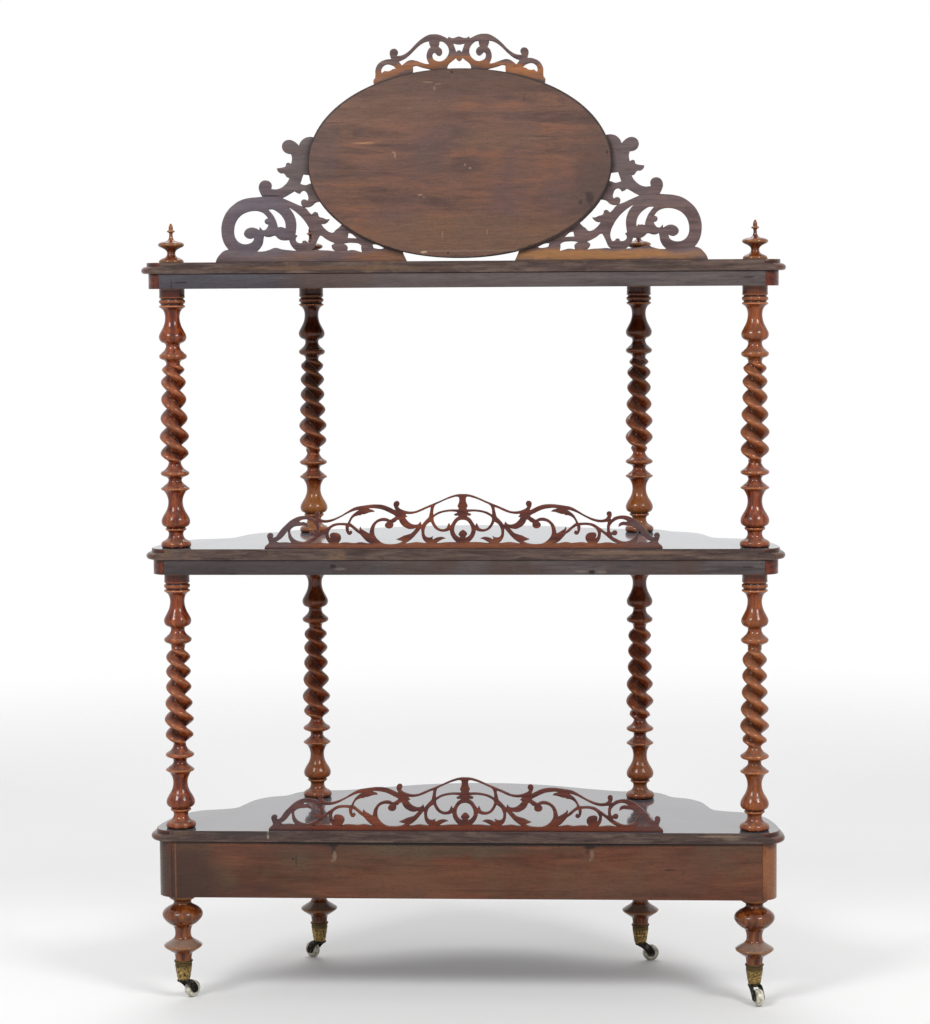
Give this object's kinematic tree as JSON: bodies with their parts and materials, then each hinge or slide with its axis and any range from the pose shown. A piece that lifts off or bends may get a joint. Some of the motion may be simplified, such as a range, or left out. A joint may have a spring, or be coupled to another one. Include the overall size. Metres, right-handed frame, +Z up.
{
  "type": "etagere",
  "caption": "Tiered whatnot: serpentine shelves on double-twist posts, fret-cut galleries, oval mirror, frieze drawer and turned legs on castors",
  "frame": {"origin": "on the floor, in the middle of the footprint", "axes": "+Z up, the front faces -Y, +X to the right as seen from the front"},
  "size_m": [0.9612, 0.4085, 1.4526],
  "materials": {
    "polished_walnut": "french polished",
    "turned_walnut": "french polished",
    "fret_walnut": "thin worn polish",
    "raw_walnut": "unpolished, aged grey-brown",
    "drawer_wood": "plain planed",
    "brass": "dull, tarnished",
    "dark_metal": "dark, worn",
    "ceramic": "glazed white ceramic",
    "mirror": "silvered plate"
  },
  "bodies": {
    "cabinet": {"shelf_bottom": "polished_walnut", "shelf_middle": "polished_walnut", "shelf_top": "polished_walnut", "frieze_band_middle": "polished_walnut", "frieze_band_top": "polished_walnut", "base_side_left": "polished_walnut", "base_side_right": "polished_walnut", "mirror_frame": "polished_walnut", "back_rail_middle": "raw_walnut", "back_rail_top": "raw_walnut", "base_back_board": "raw_walnut", "base_bottom_board": "raw_walnut", "mirror_backboard": "raw_walnut", "crest_fretwork": "fret_walnut", "bracket_left": "fret_walnut", "bracket_right": "fret_walnut", "fret_middle": "fret_walnut", "fret_bottom": "fret_walnut", "drawer_runner_left": "drawer_wood", "drawer_runner_right": "drawer_wood", "mirror_plate": "mirror", "post_lower_rear_left": "turned_walnut", "post_upper_rear_left": "turned_walnut", "finial_rear_left": "turned_walnut", "leg_rear_left": "turned_walnut", "castor_cup_rear_left": "brass", "post_lower_rear_right": "turned_walnut", "post_upper_rear_right": "turned_walnut", "finial_rear_right": "turned_walnut", "leg_rear_right": "turned_walnut", "castor_cup_rear_right": "brass", "post_lower_front_left": "turned_walnut", "post_upper_front_left": "turned_walnut", "finial_front_left": "turned_walnut", "leg_front_left": "turned_walnut", "castor_cup_front_left": "brass", "post_lower_front_right": "turned_walnut", "post_upper_front_right": "turned_walnut", "finial_front_right": "turned_walnut", "leg_front_right": "turned_walnut", "castor_cup_front_right": "brass"},
    "drawer": {"drawer_front": "polished_walnut", "drawer_side_left": "drawer_wood", "drawer_side_right": "drawer_wood", "drawer_back": "drawer_wood", "drawer_bottom": "drawer_wood", "drawer_knob_left": "turned_walnut", "drawer_knob_right": "turned_walnut"},
    "castor_rear_left": {"castor_fork_rear_left": "dark_metal", "castor_axle_rear_left": "dark_metal"},
    "wheel_rear_left": {"castor_wheel_rear_left": "ceramic"},
    "castor_rear_right": {"castor_fork_rear_right": "dark_metal", "castor_axle_rear_right": "dark_metal"},
    "wheel_rear_right": {"castor_wheel_rear_right": "ceramic"},
    "castor_front_left": {"castor_fork_front_left": "dark_metal", "castor_axle_front_left": "dark_metal"},
    "wheel_front_left": {"castor_wheel_front_left": "ceramic"},
    "castor_front_right": {"castor_fork_front_right": "dark_metal", "castor_axle_front_right": "dark_metal"},
    "wheel_front_right": {"castor_wheel_front_right": "ceramic"}
  },
  "joints": [
    {"name": "drawer_slide", "type": "slide", "parent": "cabinet", "child": "drawer", "axis": [0, -1, 0], "range_m": [0, 0.19]},
    {"name": "castor_swivel_rear_left", "type": "hinge", "parent": "cabinet", "child": "castor_rear_left", "pos_m": [-0.43501, 0.17381, 0.03], "axis": [0, 0, 1], "continuous": true},
    {"name": "wheel_spin_rear_left", "type": "hinge", "parent": "castor_rear_left", "child": "wheel_rear_left", "pos_m": [-0.44076, 0.1898, 0.013], "axis": [-0.9409, -0.3387, 0], "continuous": true},
    {"name": "castor_swivel_rear_right", "type": "hinge", "parent": "cabinet", "child": "castor_rear_right", "pos_m": [0.43501, 0.17381, 0.03], "axis": [0, 0, 1], "continuous": true},
    {"name": "wheel_spin_rear_right", "type": "hinge", "parent": "castor_rear_right", "child": "wheel_rear_right", "pos_m": [0.42459, 0.16037, 0.013], "axis": [0.7902, -0.6129, 0], "continuous": true},
    {"name": "castor_swivel_front_left", "type": "hinge", "parent": "cabinet", "child": "castor_front_left", "pos_m": [-0.25951, -0.07412, 0.03], "axis": [0, 0, 1], "continuous": true},
    {"name": "wheel_spin_front_left", "type": "hinge", "parent": "castor_front_left", "child": "wheel_front_left", "pos_m": [-0.27575, -0.07917, 0.013], "axis": [0.297, -0.9549, 0], "continuous": true},
    {"name": "castor_swivel_front_right", "type": "hinge", "parent": "cabinet", "child": "castor_front_right", "pos_m": [0.25951, -0.07412, 0.03], "axis": [0, 0, 1], "continuous": true},
    {"name": "wheel_spin_front_right", "type": "hinge", "parent": "castor_front_right", "child": "wheel_front_right", "pos_m": [0.27226, -0.08536, 0.013], "axis": [0.6613, 0.7501, 0], "continuous": true}
  ]
}
